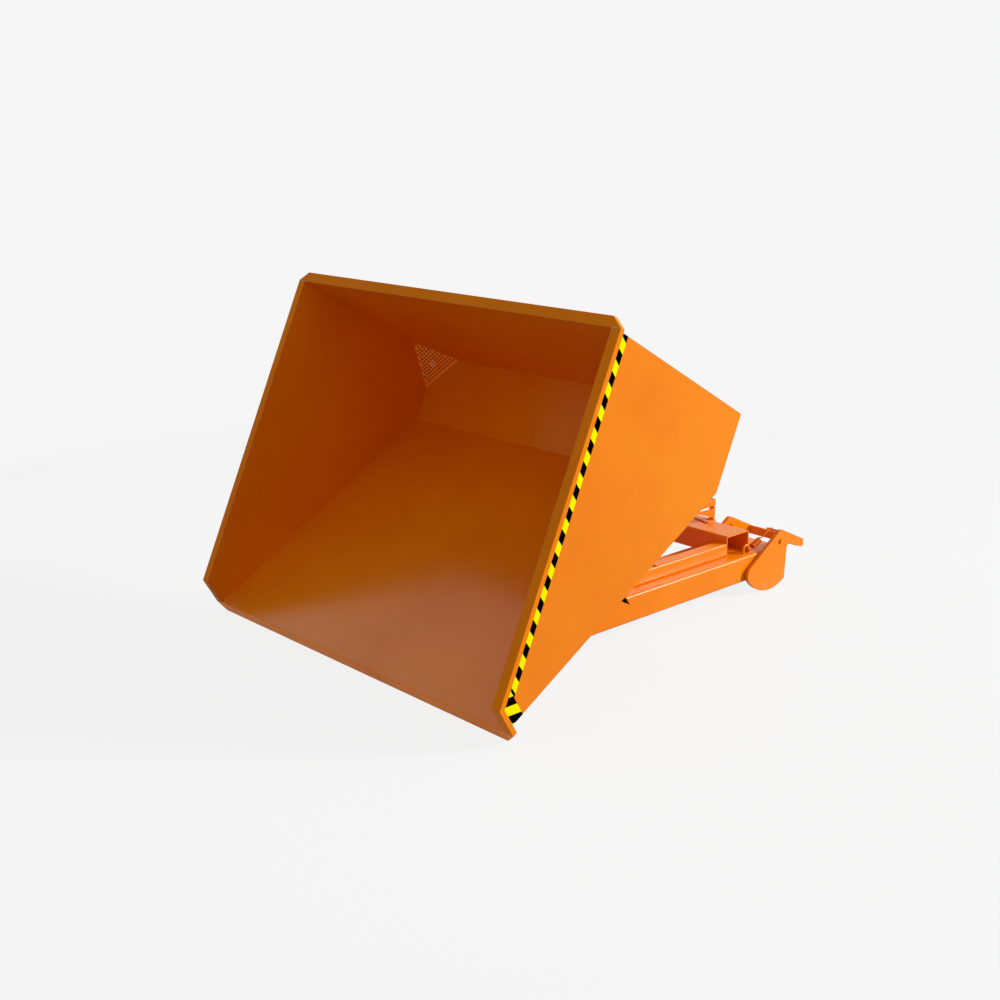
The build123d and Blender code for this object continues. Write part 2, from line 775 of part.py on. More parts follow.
def biarc(start, start_run, end, end_run):
    # Two tangent arcs, or one line, from start to end with the given directions
    span = end - start
    if span.cross(start_run).length < straight and span.cross(end_run).length < straight:
        return [Line(start, end)]
    both = start_run + end_run
    turn = 2 * (1 - start_run.dot(end_run))
    lean = span.dot(both)
    reach = (math.sqrt(lean * lean + turn * span.dot(span)) - lean) / turn if turn > straight else 0
    middle = (start + end + (start_run - end_run) * reach) / 2
    first = TangentArc(start, middle, tangent=start_run)
    return [first, TangentArc(middle, end, tangent=first % 1)]


def lever_spring():
    knots = spring_knots()
    edges = []
    for (start, run), (end, next_run) in zip(knots, knots[1:]):
        edges += biarc(start, run, end, next_run)
    path = Wire([edge.edge() for edge in edges])
    section = Plane(knots[0][0], z_dir=knots[0][1]) * Circle(spring_wire)
    print("spring wire's least gap to itself:", round(least_gap(path), 2))
    return sweep(section, path=path)


def least_gap(path):
    # Least distance between wire surfaces more than half a turn apart along the wire
    count = spring_samples * spring_turns
    points = [path.position_at(i / count) for i in range(count + 1)]
    apart = int(math.pi * spring_radius / (path.length / count))
    pairs = [(a, b) for a in range(count + 1) for b in range(a + apart, count + 1)]
    return min((points[a] - points[b]).length for a, b in pairs) - 2 * spring_wire


# Skip lock: keeper with two arms on the channel, and a swinging lever on the back wall
keeper_rear = keeper_front + keeper_length
screw_places = [(keeper_side - inset, keeper_rear - screw_depth) for inset in screw_inset]


def keeper_arms():
    lower, upper, top = [channel_top + level for level in (*keeper_slot, keeper_height)]
    tip = keeper_rear - keeper_arm
    upper_arm = outline([(keeper_front, upper), (keeper_rear, upper),
                         (keeper_rear, top), (keeper_front, top)])
    upper_arm = rounded(upper_arm, (keeper_front, top), keeper_round)
    lower_arm = outline([(tip, lower), (tip, lower - keeper_tip),
                         (keeper_rear, channel_top + keeper_arm_rise), (keeper_rear, lower)])
    return [plate(arm, keeper_side - keeper_sheet, keeper_sheet) for arm in (upper_arm, lower_arm)]


def keeper_foot_plate():
    end = keeper_side + keeper_foot_over
    narrow, wide = [keeper_rear - length for length in keeper_foot_length]
    near, far = [end - place for place in keeper_foot_slant]
    face = outline([(end, keeper_rear), (end, wide), (near, wide), (far, narrow), (end - keeper_foot, narrow),
                    (end - keeper_foot, keeper_rear)])
    for point in ((end, wide), (end - keeper_foot, narrow)):
        face = rounded(face, point, keeper_round)
    face = face - [Pos(*place) * Circle(screw_radius + screw_play) for place in screw_places]
    return Pos(0, 0, channel_top) * extrude(face, amount=keeper_sheet)


def lock_keeper():
    web_end = keeper_side - keeper_sheet / 2
    web = Pos(web_end, keeper_rear, channel_top) * Box(
        keeper_web, keeper_sheet, keeper_height, align=(Align.MAX, Align.MAX, Align.MIN))
    return keeper_foot_plate() + web + keeper_arms()


def keeper_screw(place):
    seat = channel_top + keeper_sheet
    under = channel_top - channel_wall
    length = seat - under + screw_nut_height + screw_radius
    head = extrude(RegularPolygon(screw_head, 6, major_radius=False), amount=screw_head_height)
    nut = extrude(RegularPolygon(screw_head, 6, major_radius=False), amount=-screw_nut_height)
    shank = extrude(Circle(screw_radius), amount=-length)
    return Pos(*place, 0) * (Pos(0, 0, seat) * (head + shank) + Pos(0, 0, under) * nut)


lock_middle = keeper_side - keeper_sheet / 2
cheek_inner = lock_thick / 2 + lock_side_play


def on_back(z, outward):
    point = crossing((back_top, floor_rear), ((0, z), (1, z)))
    return point[0] + lean_cos * outward, point[1] - lean_sin * outward


def lock_ears():
    low = lock_pivot[1] - lock_foot / 2
    high = lock_pivot[1] + lock_foot / 2
    face = eye_plate(lock_pivot, lock_eye, (on_back(low, lock_cheek), on_back(high, lock_cheek)))
    face = face - Pos(*lock_pivot) * Circle(lock_pin)
    starts = (lock_middle - cheek_inner - lock_cheek, lock_middle + cheek_inner)
    base = band([on_back(high, lock_cheek), on_back(low, lock_cheek)], 0, lock_cheek)
    half = cheek_inner + 2 * lock_cheek
    return plate(base, lock_middle - half, 2 * half) + [plate(face, start, lock_cheek) for start in starts]


def lock_lever():
    slot_middle = channel_top + sum(keeper_slot) / 2
    nose_level = slot_middle + lock_nose / 2
    low = (lock_pivot[0], slot_middle + lock_arm - lock_nose / 2)
    grip = (lock_pivot[0], lock_pivot[1] + lock_grip)
    eye = (Pos(*lock_pivot) * Circle(lock_eye)).edges()
    arm = make_hull(eye + (Pos(*low) * Circle(lock_arm)).edges())
    handle = make_hull(eye + (Pos(*grip) * Circle(lock_grip_radius)).edges())
    tip = lock_pivot[0] + lock_nose_reach
    nose = outline([(lock_pivot[0], nose_level - lock_nose), (tip, nose_level - lock_nose),
                    (tip, nose_level), (lock_pivot[0], nose_level)])
    holes = [Pos(*lock_pivot) * Circle(lock_pin + pin_play), Pos(*grip) * Circle(lock_rope_hole)]
    face = arm + handle + nose - holes
    released = Pos(0, *lock_pivot) * Rot(-lock_release, 0, 0) * Pos(0, -lock_pivot[0], -lock_pivot[1])
    return released * plate(face, lock_middle - lock_thick / 2, lock_thick)


def lock_pivot_pin():
    half = cheek_inner + lock_cheek
    start = lock_middle - half - lock_pin_head_thick
    shaft = disc(lock_pivot, start, lock_pin, 2 * half + lock_pin_head_thick)
    return shaft + disc(lock_pivot, lock_middle + half, lock_pin_head, lock_pin_head_thick)


nodes = {}


def group(place, pieces):
    moved = [place * piece for piece in pieces]
    return moved[0] if len(moved) == 1 else Compound(children=moved)


def on_skip(name, *pieces):
    nodes[name] = group(tipped, pieces)


def on_base(name, *pieces):
    nodes[name] = group(to_origin, pieces)


def both_sides(place, name, *pieces):
    place(name + "_right", *pieces)
    place(name + "_left", *[mirrored(piece) for piece in pieces])


def pair(*pieces):
    # Small like pieces of both sides, for one node
    return [*pieces, *[mirrored(piece) for piece in pieces]]


drain_hole = drain_plane * extrude(Circle(drain_bore), amount=-2 * sheet)
on_skip("trough_sheet", trough - drain_hole)
both_sides(on_skip, "side_wall", side_wall())
both_sides(on_skip, "side_rim", side_rim_angle())
on_skip("back_rim", back_rim_plane * end_rim(back_rim, back_chamfer))
on_skip("lip_rim", lip_plane * end_rim(lip_rim, lip_chamfer))
both_sides(on_skip, "hazard_tape", hazard_band())
on_skip("corner_sieve", corner_sieve())
on_skip("sieve_post", sieve_post())
on_skip("sieve_bolt", sieve_bolt())
on_skip("drain_socket", drain_socket())
on_skip("drain_valve_body", drain_body())
on_skip("drain_valve_ball", drain_ball())
on_skip("drain_valve_stem", drain_stem())
on_skip("drain_valve_handle", drain_handle())
on_skip("drain_handle_nut", drain_nut())
both_sides(on_skip, "hinge_arm", hinge_arm())
both_sides(on_skip, "hinge_pad", hinge_pad())
on_skip("lock_ears", lock_ears())
on_skip("lock_pivot_pin", lock_pivot_pin())
on_skip("lock_lever", lock_lever())

both_sides(on_base, "fork_pocket", fork_pocket())
both_sides(on_base, "rail", rail())
on_base("rear_cross_channel", rear_channel())
on_base("front_cross_tube", cross_tube())
both_sides(on_base, "front_foot", front_foot())
both_sides(on_base, "hinge_bracket", hinge_bracket())
both_sides(on_base, "hinge_pin", hinge_pin())
on_base("hinge_pin_rings", *pair(hinge_ring()))
both_sides(on_base, "tip_stop", tip_stop())
both_sides(on_base, "tip_stop_pad", tip_pad())
both_sides(on_base, "lever_ears", *lever_ears())
on_base("lever_pins", *pair(*lever_pins()))
on_base("lever_stops", *pair(lever_stop()))
both_sides(on_base, "spring_eye", staple_eye())
both_sides(on_base, "lever_spring", lever_spring())
on_base("lock_keeper", lock_keeper())
on_base("keeper_screws", *[keeper_screw(place) for place in screw_places])

for where, start in plate_starts.items():
    both_sides(on_base, "lever_plate_" + where, plate(lever_face(), start, lever_plate))
both_sides(on_base, "lever_bar", lever_bar())
both_sides(on_base, "lever_knee_pin", knee_pin())

os.makedirs("parts", exist_ok=True)
for name, piece in nodes.items():
    export_step(piece, "parts/" + name + ".step")


def placed(point):
    return [round(v, 3) for v in tuple(point)]


print("nodes:", len(nodes))
print("tip angle:", round(tip_angle, 3), "origin shift:", round(origin_shift, 3))
print("hinge:", placed((to_origin * Pos(0, *hinge)).position))
print("lever pivot:", placed((to_origin * Pos(0, *lever_pivot)).position))
print("lock pivot:", placed((tipped * Pos(lock_middle, *lock_pivot)).position))
stem_foot = tipped * Location(drain_plane) * Pos(0, 0, ball_place)
stem_head = tipped * Location(drain_plane) * Pos(0, 1, ball_place)
outlet = tipped * Location(drain_plane) * Pos(0, 0, socket_length + valve_length)
print("drain stem:", placed(stem_foot.position), "run:", placed(stem_head.position - stem_foot.position))
print("drain outlet:", placed(outlet.position))
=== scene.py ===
import bpy
import bmesh
import json
import math
from mathutils import Matrix, Vector


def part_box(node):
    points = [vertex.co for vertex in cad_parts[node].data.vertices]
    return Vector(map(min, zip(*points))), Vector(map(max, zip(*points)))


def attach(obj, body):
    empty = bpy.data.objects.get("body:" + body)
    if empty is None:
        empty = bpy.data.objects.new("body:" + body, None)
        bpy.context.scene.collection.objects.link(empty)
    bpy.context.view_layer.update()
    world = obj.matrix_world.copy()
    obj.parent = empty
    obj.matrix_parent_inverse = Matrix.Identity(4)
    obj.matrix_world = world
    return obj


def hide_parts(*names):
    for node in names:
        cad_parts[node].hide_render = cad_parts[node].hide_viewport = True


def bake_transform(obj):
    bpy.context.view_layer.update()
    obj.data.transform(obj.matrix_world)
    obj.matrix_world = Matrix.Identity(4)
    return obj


# Tipping skip on a fork base: finishes, springs, fastenings and weld seams round the CAD frame
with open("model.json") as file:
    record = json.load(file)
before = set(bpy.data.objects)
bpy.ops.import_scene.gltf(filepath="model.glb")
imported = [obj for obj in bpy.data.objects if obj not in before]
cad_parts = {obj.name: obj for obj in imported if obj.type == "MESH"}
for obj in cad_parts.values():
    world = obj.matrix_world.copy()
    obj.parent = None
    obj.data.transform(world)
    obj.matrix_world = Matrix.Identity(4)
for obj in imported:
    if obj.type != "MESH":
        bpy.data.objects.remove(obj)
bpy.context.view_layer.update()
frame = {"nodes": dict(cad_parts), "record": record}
nodes = frame["nodes"]
sides = (("right", 1), ("left", -1))
print("frame loaded:", len(nodes), "nodes")

# Directions of the tipped skip's sheets, up along each and out of it
skipAngles = {"tip": 66.017, "slope": 35.6, "backLean": 4.56}
tipAngle = math.radians(skipAngles["tip"])
slopeTilt = tipAngle - math.radians(skipAngles["slope"])
wallLean = tipAngle - math.radians(skipAngles["backLean"])
across = Vector((1, 0, 0))
slopeUp = Vector((0, math.cos(slopeTilt), math.sin(slopeTilt)))
slopeOut = Vector((0, math.sin(slopeTilt), -math.cos(slopeTilt)))
wallUp = Vector((0, -math.sin(wallLean), math.cos(wallLean)))
wallOut = Vector((0, math.cos(wallLean), math.sin(wallLean)))
floorUp = Vector((0, math.cos(tipAngle), math.sin(tipAngle)))


# Shader flow: a socket that can be used in sums
class Flow:
    def __init__(self, tree, socket=None):
        self.tree = tree
        self.socket = socket

    def add(self, kind, settings=None, sockets=None, out=0):
        node = self.tree.nodes.new("ShaderNode" + kind)
        for name, value in (settings or {}).items():
            setattr(node, name, value)
        for name, value in (sockets or {}).items():
            self.feed(node.inputs[name], value)
        return Flow(self.tree, node.outputs[out] if node.outputs else None)

    def feed(self, target, value):
        if isinstance(value, Flow):
            self.tree.links.new(value.socket, target)
        else:
            target.default_value = value

    def sum(self, operation, first, second):
        return self.add("Math", {"operation": operation}, {0: first, 1: second})

    def __add__(self, other):
        return self.sum("ADD", self, other)

    def __sub__(self, other):
        return self.sum("SUBTRACT", self, other)

    def __mul__(self, other):
        return self.sum("MULTIPLY", self, other)

    def __truediv__(self, other):
        return self.sum("DIVIDE", self, other)

    def __radd__(self, other):
        return self.sum("ADD", other, self)

    def __rsub__(self, other):
        return self.sum("SUBTRACT", other, self)

    def __rmul__(self, other):
        return self.sum("MULTIPLY", other, self)

    def least(self, other):
        return self.sum("MINIMUM", self, other)

    def most(self, other):
        return self.sum("MAXIMUM", self, other)

    def repeat(self, length):
        return self.sum("FLOORED_MODULO", self, length)

    def axis(self, name):
        return self.add("SeparateXYZ", {}, {0: self}, out=name)

    def step(self, low, high):
        # 0 below low, 1 above high, soft between
        return self.add("MapRange", {"interpolation_type": "SMOOTHSTEP"},
                        {"Value": self, "From Min": low, "From Max": high, "To Min": 0.0, "To Max": 1.0})

    def mix(self, low, high):
        # colour low where this is 0, high where it is 1
        return self.add("Mix", {"data_type": "RGBA"}, {0: self, 6: low, 7: high}, out=2)


def srgb(code):
    parts = [int(code[i:i + 2], 16) / 255 for i in (0, 2, 4)]
    return tuple(c / 12.92 if c <= 0.04045 else ((c + 0.055) / 1.055) ** 2.4 for c in parts) + (1.0,)


def newMaterial(name):
    material = bpy.data.materials.new(name)
    material.use_nodes = True
    tree = material.node_tree
    tree.nodes.clear()
    return material, Flow(tree)


def place(flow, scale=(1, 1, 1), turn=(0, 0, 0)):
    coords = flow.add("TexCoord", out="Object")
    return flow.add("Mapping", {}, {"Vector": coords, "Rotation": turn, "Scale": scale})


def noise(flow, where, grain):
    # grain is a scale, a detail and a roughness
    scale, detail, rough = grain
    return flow.add("TexNoise", {}, {"Vector": where, "Scale": scale, "Detail": detail, "Roughness": rough})


edgeSamples = 6


def softNormal(flow, radius):
    return flow.add("Bevel", {"samples": edgeSamples}, {"Radius": radius})


def edgeMask(flow, radius):
    # bright where a rounded normal leaves the flat one
    flat = flow.add("NewGeometry", out="Normal")
    both = {0: softNormal(flow, radius), 1: flat}
    return 1.0 - flow.add("VectorMath", {"operation": "DOT_PRODUCT"}, both, out="Value")


def bump(flow, height, strength, distance, base=None):
    sockets = {"Height": height, "Strength": strength, "Distance": distance}
    if base is not None:
        sockets["Normal"] = base
    return flow.add("Bump", {}, sockets)


def finishUp(flow, colour, rough, normal, metallic=0.0, specular=0.5, dull=None):
    # dull is a mask and the specular level where it is 1
    def surface(level):
        sockets = {"Base Color": colour, "Roughness": rough, "Metallic": metallic, "Normal": normal,
                   "Specular IOR Level": level}
        return flow.add("BsdfPrincipled", {}, sockets)

    shader = surface(specular)
    if dull is not None:
        mask, level = dull
        shader = flow.add("MixShader", {}, {0: mask, 1: shader, 2: surface(level)})
    flow.add("OutputMaterial", {}, {"Surface": shader})


# Sprayed orange paint, with orange peel, slight fading, worn edges and dust low down; a coat with a light
# edge tone turns the edge band into a painted highlight
# light tone for the painted highlight on the rim edges and along the rim seams
rimHighlightTone = srgb("F2B283")
paint = {
    "fresh": srgb("F88A0A"), "deep": srgb("F18008"), "chalk": srgb("FBA04A"), "edgeWearAndHighlightTone": srgb("8A7B6E"),
    "dust": srgb("B9A58C"), "rough": 0.13, "roughSpread": 0.10, "roughest": 0.9, "metallic": 0.0,
    "specular": 0.12, "patchGrain": (2.6, 5.0, 0.6), "patchStep": (0.35, 0.7),
    "fineGrain": (38.0, 6.0, 0.65), "chalkStep": (0.62, 0.8), "chalkShare": 0.18, "wear": 0.15,
    "softEdge": 0.0016, "edgeBandRadius": 0.00256, "edgeBandGain": 6.0, "edgeBandStep": (0.46, 0.62), "edgeBandRough": 0.25,
    "dustTop": 0.06, "dustStep": (0.4, 0.75), "dustShare": 0.35, "dustRough": 0.4,
    "peelGrain": (420.0, 2.0, 0.5), "peelStrength": 0.22, "peelDepth": 0.0005, "slide": None,
}
padThick = 0.005


def slopeFace():
    # where the upper end of the hinge pad meets the slope's outer face
    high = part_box("hinge_pad_right")[1]
    return Vector((0, high.y - slopeOut.y * padThick, high.z))


# Swarf slides down the slope: fine streaks along it, polished low down inside, dull at the rear and outside
slide = {
    "scale": (230.0, 6.0, 60.0), "turn": (-slopeTilt, 0, 0), "grain": (1.0, 5.0, 0.6),
    "lineStep": (0.60, 0.70), "patchStep": (0.3, 0.6), "strength": 0.22, "rough": 0.12,
    "rearStep": (-0.45, -0.10), "outerFace": slopeFace().dot(slopeOut), "outerStep": (-0.002, -0.001),
    "dullSpecular": 0.08,
}


def makePaint(name, changes):
    coat = {**paint, **changes}
    material, flow = newMaterial(name)
    where = place(flow)
    patches = noise(flow, where, coat["patchGrain"])
    fine = noise(flow, where, coat["fineGrain"])
    peel = noise(flow, where, coat["peelGrain"])
    body = patches.step(*coat["patchStep"]).mix(coat["fresh"], coat["deep"])
    body = (fine.step(*coat["chalkStep"]) * coat["chalkShare"]).mix(body, coat["chalk"])
    # edge band: worn to primer on the plain coats, a painted highlight where the edge tone is light
    edgeBand = (edgeMask(flow, coat["edgeBandRadius"]) * coat["edgeBandGain"]).least(1.0) * fine.step(*coat["edgeBandStep"])
    body = (edgeBand * coat["wear"]).mix(body, coat["edgeWearAndHighlightTone"])
    low = 1.0 - where.axis("Z").step(0.0, coat["dustTop"])
    dusty = low * fine.step(*coat["dustStep"]) * coat["dustShare"]
    body = dusty.mix(body, coat["dust"])
    gloss = coat["rough"] + patches * coat["roughSpread"]
    gloss = gloss + edgeBand * coat["edgeBandRough"] + dusty * coat["dustRough"]
    dull = None
    marks = coat["slide"]
    if marks is not None:
        lines = noise(flow, place(flow, marks["scale"], marks["turn"]), marks["grain"])
        scratch = lines.step(*marks["lineStep"]) * patches.step(*marks["patchStep"])
        body = (scratch * marks["strength"]).mix(body, coat["chalk"])
        gloss = gloss + scratch * marks["rough"]
        y = where.axis("Y")
        outside = y * slopeOut.y + where.axis("Z") * slopeOut.z - marks["outerFace"]
        mask = y.step(*marks["rearStep"]).most(outside.step(*marks["outerStep"]))
        dull = (mask, marks["dullSpecular"])
    normal = bump(flow, peel, coat["peelStrength"], coat["peelDepth"], softNormal(flow, coat["softEdge"]))
    finishUp(flow, body, gloss.least(coat["roughest"]), normal, coat["metallic"], coat["specular"], dull)
    return material


# Zinc plated steel for pins and bolts
zinc = {
    "bright": srgb("B9BCBD"), "dull": srgb("86898A"), "stain": srgb("6B5F4E"), "rough": 0.32,
    "roughSpread": 0.22, "metallic": 1.0, "cloud": (55.0, 6.0, 0.7), "dullStep": (0.35, 0.7),
    "stainStep": (0.62, 0.78), "stainShare": 0.5, "softEdge": 0.0006, "spangle": (900.0, 3.0, 0.6),
    "spangleStrength": 0.25, "spangleDepth": 0.0002,
}


def makeZinc(name, changes):
    coat = {**zinc, **changes}
    material, flow = newMaterial(name)
    where = place(flow)
    cloud = noise(flow, where, coat["cloud"])
    spangle = noise(flow, where, coat["spangle"])
    colour = cloud.step(*coat["dullStep"]).mix(coat["bright"], coat["dull"])
    colour = (cloud.step(*coat["stainStep"]) * coat["stainShare"]).mix(colour, coat["stain"])
    soft = softNormal(flow, coat["softEdge"])
    normal = bump(flow, spangle, coat["spangleStrength"], coat["spangleDepth"], soft)
    finishUp(flow, colour, coat["rough"] + cloud * coat["roughSpread"], normal, coat["metallic"])
    return material


# Brass valve body with handling stains
brass = {
    "bright": srgb("C9A25A"), "tarnish": srgb("7E6232"), "rough": 0.3, "roughSpread": 0.25, "metallic": 1.0,
    "cloud": (42.0, 6.0, 0.65), "tarnishStep": (0.38, 0.68), "edgeBandRadius": 0.0012, "edgeBandGain": 5.0,
    "softEdge": 0.0008, "grain": (1100.0, 2.0, 0.5), "grainStrength": 0.2, "grainDepth": 0.0002,
}


def makeBrass():
    material, flow = newMaterial("valveBrass")
    where = place(flow)
    cloud = noise(flow, where, brass["cloud"])
    grain = noise(flow, where, brass["grain"])
    edgeBand = (edgeMask(flow, brass["edgeBandRadius"]) * brass["edgeBandGain"]).least(1.0)
    colour = cloud.step(*brass["tarnishStep"]).mix(brass["bright"], brass["tarnish"])
    colour = edgeBand.mix(colour, brass["bright"])
    soft = softNormal(flow, brass["softEdge"])
    normal = bump(flow, grain, brass["grainStrength"], brass["grainDepth"], soft)
    finishUp(flow, colour, brass["rough"] + cloud * brass["roughSpread"], normal, brass["metallic"])
    return material


# Black rubber of the tipping stops
rubber = {
    "black": srgb("1B1B1C"), "grey": srgb("3B3A38"), "rough": 0.72, "roughSpread": 0.15,
    "bloom": (30.0, 5.0, 0.6), "bloomStep": (0.45, 0.75), "softEdge": 0.0012, "pores": (700.0, 3.0, 0.6),
    "poreStrength": 0.4, "poreDepth": 0.0004,
}


def makeRubber():
    material, flow = newMaterial("stopRubber")
    where = place(flow)
    bloom = noise(flow, where, rubber["bloom"])
    pores = noise(flow, where, rubber["pores"])
    colour = bloom.step(*rubber["bloomStep"]).mix(rubber["black"], rubber["grey"])
    soft = softNormal(flow, rubber["softEdge"])
    normal = bump(flow, pores, rubber["poreStrength"], rubber["poreDepth"], soft)
    finishUp(flow, colour, rubber["rough"] + bloom * rubber["roughSpread"], normal)
    return material


# Red dipped sleeve on the valve handle
sleeve = {
    "red": srgb("B3201A"), "worn": srgb("8C3A34"), "rough": 0.4, "roughSpread": 0.2,
    "smear": (60.0, 5.0, 0.6), "wornStep": (0.5, 0.8), "softEdge": 0.0008, "skin": (650.0, 2.0, 0.5),
    "skinStrength": 0.3, "skinDepth": 0.0003,
}


def makeSleeve():
    material, flow = newMaterial("handleSleeve")
    where = place(flow)
    smear = noise(flow, where, sleeve["smear"])
    skin = noise(flow, where, sleeve["skin"])
    colour = smear.step(*sleeve["wornStep"]).mix(sleeve["red"], sleeve["worn"])
    soft = softNormal(flow, sleeve["softEdge"])
    normal = bump(flow, skin, sleeve["skinStrength"], sleeve["skinDepth"], soft)
    finishUp(flow, colour, sleeve["rough"] + smear * sleeve["roughSpread"], normal)
    return material


# Yellow and black tape: one strip along the mouth, one along the lip laid over its end
tape = {
    "yellow": srgb("F7F900"), "black": srgb("010101"), "scuff": srgb("8E8A5C"), "soft": 0.0012,
    "specular": 0.0, "rough": 0.36, "roughSpread": 0.16, "grit": (70.0, 6.0, 0.65),
    "scuffStep": (0.62, 0.78), "scuffShare": 0.18, "scuffRough": 0.2,
    "film": (480.0, 2.0, 0.5), "filmStrength": 0.2, "filmDepth": 0.0002,
    "kink": (-0.75255, 0.09701), "lipWidth": 0.0617, "mouthWidth": 0.0580, "lift": 0.0003,
    "lapStep": (-0.00005, 0.00005),
    "mouth": {"run": (math.cos(tipAngle), math.sin(tipAngle)), "period": 0.0526, "black": 0.50,
              "slant": 0.60, "phase": 0.0005},
    "lip": {"run": (0.5064, -0.8623), "period": 0.0517, "black": 0.475, "slant": 0.59, "phase": 0.0161},
}


def makeTape():
    material, flow = newMaterial("hazardTape")
    where = place(flow)
    y = where.axis("Y") - tape["kink"][0]
    z = where.axis("Z") - tape["kink"][1]

    def stripes(strip):
        runY, runZ = strip["run"]
        inward = y * runZ - z * runY
        along = y * runY + z * runZ + inward * strip["slant"] + strip["phase"]
        cycle = (along / strip["period"]).repeat(1.0)
        edge = tape["soft"] / strip["period"]
        return cycle.step(0.0, edge) * (1.0 - cycle.step(strip["black"], strip["black"] + edge)), inward

    mouth = stripes(tape["mouth"])[0]
    lip, lipInward = stripes(tape["lip"])
    onLip = (lipInward + tape["lipWidth"]).step(*tape["lapStep"])
    black = mouth * (1.0 - onLip) + lip * onLip
    grit = noise(flow, where, tape["grit"])
    film = noise(flow, where, tape["film"])
    scuff = grit.step(*tape["scuffStep"])
    colour = black.mix(tape["yellow"], tape["black"])
    colour = (scuff * tape["scuffShare"]).mix(colour, tape["scuff"])
    rough = tape["rough"] + grit * tape["roughSpread"] + scuff * tape["scuffRough"]
    normal = bump(flow, film, tape["filmStrength"], tape["filmDepth"])
    finishUp(flow, colour, rough, normal, specular=tape["specular"])
    return material


# Coats that differ from the plain paint, and the nodes that wear them, by the start of their names
# sieve: lighter orange with a tinted metal sheen, painted brightness for the light it catches through the
# mouth
sieveLitOrange = srgb("FF8A1E")
springOrange = srgb("EC7A0C")
# rims: the light edge tone, laid on strongly, paints a highlight along every rim edge
rimHighlightCoat = {"wear": 0.75, "specular": 0.05, "rough": 0.42, "edgeWearAndHighlightTone": rimHighlightTone}
coats = {
    "orangePaint": {},
    "skipSheetPaint": {"specular": 0.42, "slide": slide},
    "rimEdgeHighlightPaint": rimHighlightCoat,
    # lip: the rims' painted edge highlight, plus a tinted metal sheen that paints light onto its downward
    # face
    "lipHighlightSheenPaint": {**rimHighlightCoat, "metallic": 0.3},
    # rim seams: the bead wears the light tone all over, a painted highlight along each seam
    "rimSeamHighlightPaint": {"wear": 0.3, "fresh": rimHighlightTone, "deep": rimHighlightTone},
    # painted brightness on the sieve
    "sieveLitPaint": {"wear": 0.1, "fresh": sieveLitOrange, "deep": sieveLitOrange, "rough": 0.3, "metallic": 0.4},
    "leverPaint": {"wear": 0.25},
    "springPaint": {"wear": 0.1, "fresh": springOrange, "deep": springOrange},
}
paints = {name: makePaint(name, changes) for name, changes in coats.items()}
finishes = {
    "orange_paint": paints["orangePaint"], "spring_paint": paints["springPaint"], "brass": makeBrass(),
    "zinc_steel": makeZinc("zincSteel", {}), "rubber": makeRubber(), "handle_sleeve": makeSleeve(),
    "hazard_tape": makeTape(),
}
wearers = {
    "trough_sheet": "skipSheetPaint", "corner_sieve": "sieveLitPaint", "lip_rim": "lipHighlightSheenPaint",
    "back_rim": "rimEdgeHighlightPaint", "side_rim": "rimEdgeHighlightPaint", "lever_plate": "leverPaint", "lever_bar": "leverPaint",
}
for row in frame["record"]["subparts"]:
    name = row["node"]
    worn = [paints[coat] for start, coat in wearers.items() if name.startswith(start)]
    mesh = nodes[name].data
    mesh.materials.clear()
    mesh.materials.append(worn[0] if worn else finishes[row["material_slot"]])
print("finishes:", len(bpy.data.materials))


# New pieces
sharpAngle = math.radians(42)
mergeGap = 1e-6


def toMesh(name, bm):
    mesh = bpy.data.meshes.new(name)
    bm.to_mesh(mesh)
    bm.free()
    return mesh


def cleanMesh(name, bm):
    bmesh.ops.remove_doubles(bm, verts=bm.verts, dist=mergeGap)
    bmesh.ops.recalc_face_normals(bm, faces=bm.faces)
    return toMesh(name, bm)


def joinMeshes(name, meshes):
    bm = bmesh.new()
    for mesh in meshes:
        bm.from_mesh(mesh)
        bpy.data.meshes.remove(mesh)
    return toMesh(name, bm)


def standAt(point, direction, upAxis):
    # local Z along the direction
    return Matrix.Translation(point) @ direction.to_track_quat("Z", upAxis).to_matrix().to_4x4()


def addPiece(name, mesh, material, body, smooth=True):
    mesh.materials.append(material)
    for face in mesh.polygons:
        face.use_smooth = smooth
    mesh.set_sharp_from_angle(angle=sharpAngle)
    piece = bpy.data.objects.new(name, mesh)
    bpy.context.scene.collection.objects.link(piece)
    if body is not None:
        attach(piece, body)
    return piece


# Hazard strips, cut out of the CAD band: the lip's strip lies over the end of the mouth's
def cutStrip(node, cuts, lift):
    # keeps what lies behind each cut's plane; a cut is a point and a normal in (y, z)
    bm = bmesh.new()
    bm.from_mesh(node.data)
    bmesh.ops.remove_doubles(bm, verts=bm.verts, dist=mergeGap)
    for point, normal in cuts:
        whole = bm.verts[:] + bm.edges[:] + bm.faces[:]
        bmesh.ops.bisect_plane(bm, geom=whole, plane_co=(0, *point), plane_no=(0, *normal),
                               clear_outer=True)
        bmesh.ops.holes_fill(bm, edges=[edge for edge in bm.edges if edge.is_boundary])
    bmesh.ops.translate(bm, verts=bm.verts, vec=(lift, 0, 0))
    return cleanMesh("hazardStrip", bm)


def makeStrips(sideName, side):
    node = nodes["hazard_tape_" + sideName]
    kinkAt = Vector(tape["kink"])
    inward = {}
    for strip, sense in (("mouth", 1), ("lip", -1)):
        runY, runZ = tape[strip]["run"]
        inward[strip] = Vector((runZ, -runY)) * sense
    lipEdge = kinkAt + inward["lip"] * tape["lipWidth"]
    mouthEdge = kinkAt + inward["mouth"] * tape["mouthWidth"]
    meshes = [cutStrip(node, [(lipEdge, inward["lip"])], tape["lift"] * side),
              cutStrip(node, [(lipEdge, -inward["lip"]), (mouthEdge, inward["mouth"])], 0.0)]
    mesh = joinMeshes("hazardStrips", meshes)
    piece = addPiece("hazard_strips_" + sideName, mesh, finishes["hazard_tape"], "skip",
                     smooth=False)
    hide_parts("hazard_tape_" + sideName)


